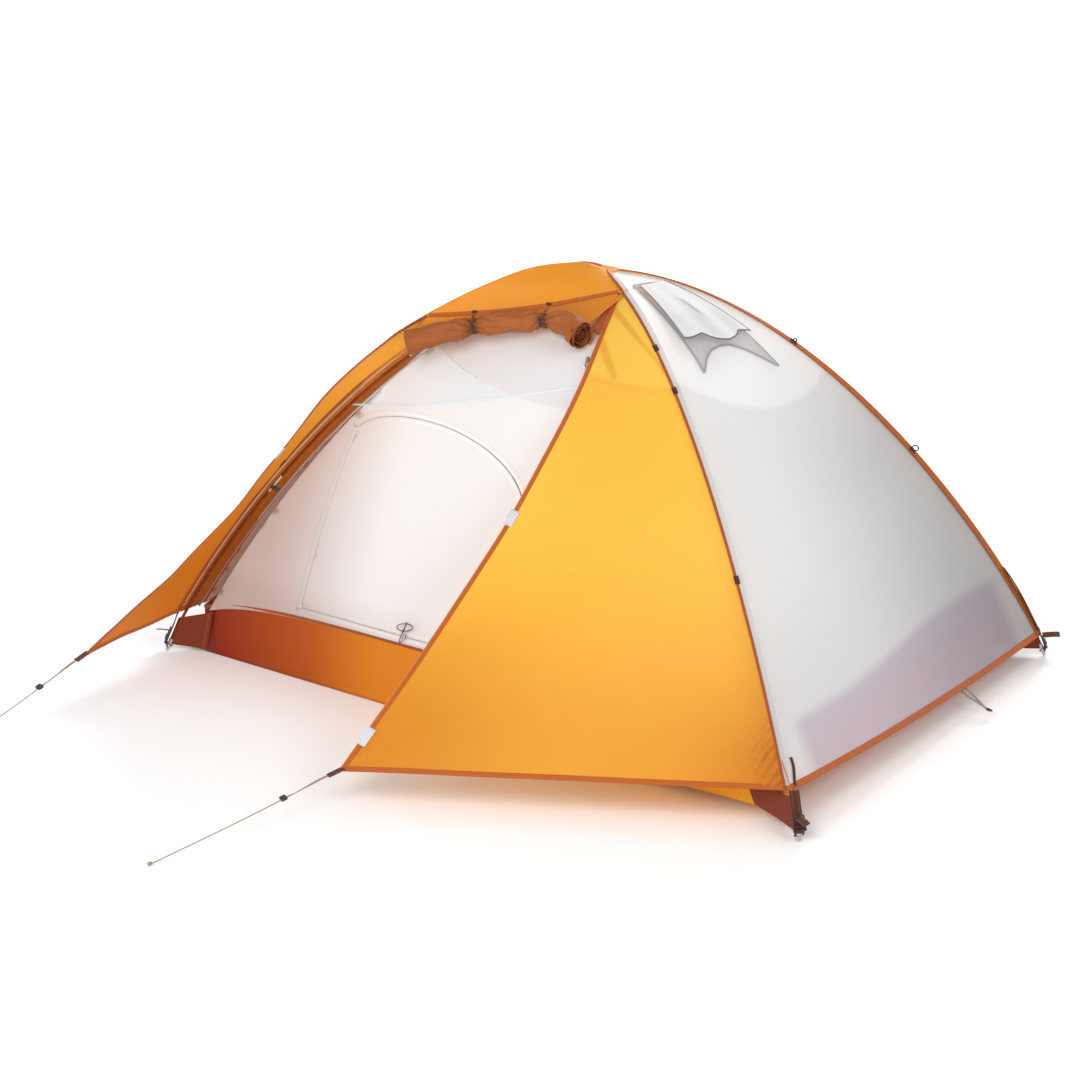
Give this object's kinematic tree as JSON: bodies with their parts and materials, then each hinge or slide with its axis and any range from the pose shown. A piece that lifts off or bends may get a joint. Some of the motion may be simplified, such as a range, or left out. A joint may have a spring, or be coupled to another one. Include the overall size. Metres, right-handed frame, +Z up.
{
  "type": "dome tent",
  "caption": "double-wall dome tent on two crossing arched poles, with an orange and white fly, a bathtub floor, a rolled-up vestibule door, roof vents and guylines",
  "frame": {"origin": "centre of the floor's underside, on the ground midway between the four pole feet", "axes": "+X to the right along the door side, seen from in front of the door; +Y from the door to the back; +Z up"},
  "size_m": [2.1856, 2.4501, 1.1621],
  "materials": {
    "orange_cloth": "coated plain-weave polyester, translucent",
    "white_cloth": "coated plain-weave polyester, translucent",
    "inner_cloth": "breathable thin nylon",
    "floor_cloth": "heavy coated cloth",
    "rolled_cloth": "rolled door cloth, folded layers",
    "grey_mesh": "fine insect mesh",
    "brown_webbing": "woven tape",
    "dark_plastic": "moulded acetal",
    "bronze_tube": "bronze anodised tube",
    "silver_metal": "turned, bare",
    "cord": "braided cord"
  },
  "bodies": {
    "root": {"pole_a_section_1": "bronze_tube", "pole_a_section_2": "bronze_tube", "pole_a_section_3": "bronze_tube", "pole_a_section_4": "bronze_tube", "pole_a_section_5": "bronze_tube", "pole_a_section_6": "bronze_tube", "pole_b_section_1": "bronze_tube", "pole_b_section_2": "bronze_tube", "pole_b_section_3": "bronze_tube", "pole_b_section_4": "bronze_tube", "pole_b_section_5": "bronze_tube", "pole_b_section_6": "bronze_tube", "pole_tip_fr": "silver_metal", "corner_strap_fr": "brown_webbing", "pole_tip_bl": "silver_metal", "corner_strap_bl": "brown_webbing", "pole_tip_br": "silver_metal", "corner_strap_br": "brown_webbing", "pole_tip_fl": "silver_metal", "corner_strap_fl": "brown_webbing", "pole_clip_fr": "dark_plastic", "pole_clip_bl": "dark_plastic", "pole_clip_br": "dark_plastic", "pole_clip_fl": "dark_plastic", "peak_hook": "dark_plastic", "inner_floor_tub": "floor_cloth", "inner_wall_front": "inner_cloth", "inner_wall_back": "inner_cloth", "inner_wall_right": "inner_cloth", "inner_wall_left": "inner_cloth", "inner_cap": "inner_cloth", "fly_side_right": "white_cloth", "vent_mesh_right": "grey_mesh", "fly_side_left": "white_cloth", "vent_mesh_left": "grey_mesh", "fly_back": "orange_cloth", "fly_brow": "orange_cloth", "fly_flap_left": "orange_cloth", "fly_flap_right": "orange_cloth", "rolled_door": "rolled_cloth", "roll_tie_left": "brown_webbing", "roll_tie_right": "brown_webbing", "guyline_right": "cord", "guyline_left": "cord"},
    "inner_door_leaf": {"inner_door": "inner_cloth"},
    "inner_zip": {"inner_zip_slider": "dark_plastic"},
    "fly_zip": {"fly_zip_slider": "silver_metal"},
    "hood_right": {"vent_hood_right": "white_cloth"},
    "prop_right": {"vent_prop_right": "dark_plastic"},
    "hood_left": {"vent_hood_left": "white_cloth"},
    "prop_left": {"vent_prop_left": "dark_plastic"},
    "buckle_fr": {"corner_buckle_fr": "dark_plastic"},
    "buckle_bl": {"corner_buckle_bl": "dark_plastic"},
    "buckle_br": {"corner_buckle_br": "dark_plastic"},
    "buckle_fl": {"corner_buckle_fl": "dark_plastic"},
    "toggle_left": {"roll_toggle_left": "dark_plastic"},
    "toggle_right": {"roll_toggle_right": "dark_plastic"},
    "runner_right": {"guyline_runner_right": "dark_plastic"},
    "runner_left": {"guyline_runner_left": "dark_plastic"}
  },
  "joints": [
    {"name": "inner_door_swing", "type": "hinge", "parent": "root", "child": "inner_door_leaf", "pos_m": [-0.62, -0.61825, 0.21172], "axis": [-0.1827, -0.4359, -0.8813], "range_deg": [0, 88]},
    {"name": "inner_zip_run", "type": "slide", "parent": "inner_door_leaf", "child": "inner_zip", "axis": [1, 0, 0], "range_m": [-0.33, 0.22]},
    {"name": "fly_zip_run", "type": "slide", "parent": "root", "child": "fly_zip", "axis": [0.0496, -0.7159, -0.6964], "range_m": [0, 0.17]},
    {"name": "hood_right_hinge", "type": "hinge", "parent": "root", "child": "hood_right", "pos_m": [0.128, 0, 1.13506], "axis": [0, 1, 0], "range_deg": [0, 3.6]},
    {"name": "prop_right_hinge", "type": "hinge", "parent": "root", "child": "prop_right", "pos_m": [0.24, 0, 1.0837], "axis": [0, 1, 0], "range_deg": [0, 12]},
    {"name": "hood_left_hinge", "type": "hinge", "parent": "root", "child": "hood_left", "pos_m": [-0.128, 0, 1.13506], "axis": [0, -1, 0], "range_deg": [0, 3.6]},
    {"name": "prop_left_hinge", "type": "hinge", "parent": "root", "child": "prop_left", "pos_m": [-0.24, 0, 1.0837], "axis": [0, -1, 0], "range_deg": [0, 12]},
    {"name": "buckle_fr_run", "type": "slide", "parent": "root", "child": "buckle_fr", "axis": [-0.3207, 0.2138, 0.9227], "range_m": [0, 0.05]},
    {"name": "buckle_bl_run", "type": "slide", "parent": "root", "child": "buckle_bl", "axis": [0.3207, -0.2138, 0.9227], "range_m": [0, 0.01]},
    {"name": "buckle_br_run", "type": "slide", "parent": "root", "child": "buckle_br", "axis": [-0.3231, -0.2154, 0.9215], "range_m": [0, 0.01]},
    {"name": "buckle_fl_run", "type": "slide", "parent": "root", "child": "buckle_fl", "axis": [0.3231, 0.2154, 0.9215], "range_m": [0, 0.05]},
    {"name": "toggle_left_turn", "type": "hinge", "parent": "root", "child": "toggle_left", "pos_m": [-0.2265, -0.3288, 1.02599], "axis": [0.5114, -0.8593, 0], "range_deg": [0, 90]},
    {"name": "toggle_right_turn", "type": "hinge", "parent": "root", "child": "toggle_right", "pos_m": [-0.05792, -0.25054, 1.05525], "axis": [0.2776, -0.9607, 0], "range_deg": [0, 90]},
    {"name": "runner_right_run", "type": "slide", "parent": "root", "child": "runner_right", "axis": [-0.3757, -0.9036, -0.2058], "range_m": [-0.09, 0.2]},
    {"name": "runner_left_run", "type": "slide", "parent": "root", "child": "runner_left", "axis": [-0.0357, -0.9824, -0.1835], "range_m": [-0.1, 0.2]}
  ],
  "couplings": [
    {"joint": "prop_right_hinge", "follows": "hood_right_hinge", "ratio": 3.33},
    {"joint": "prop_left_hinge", "follows": "hood_left_hinge", "ratio": 3.33}
  ]
}
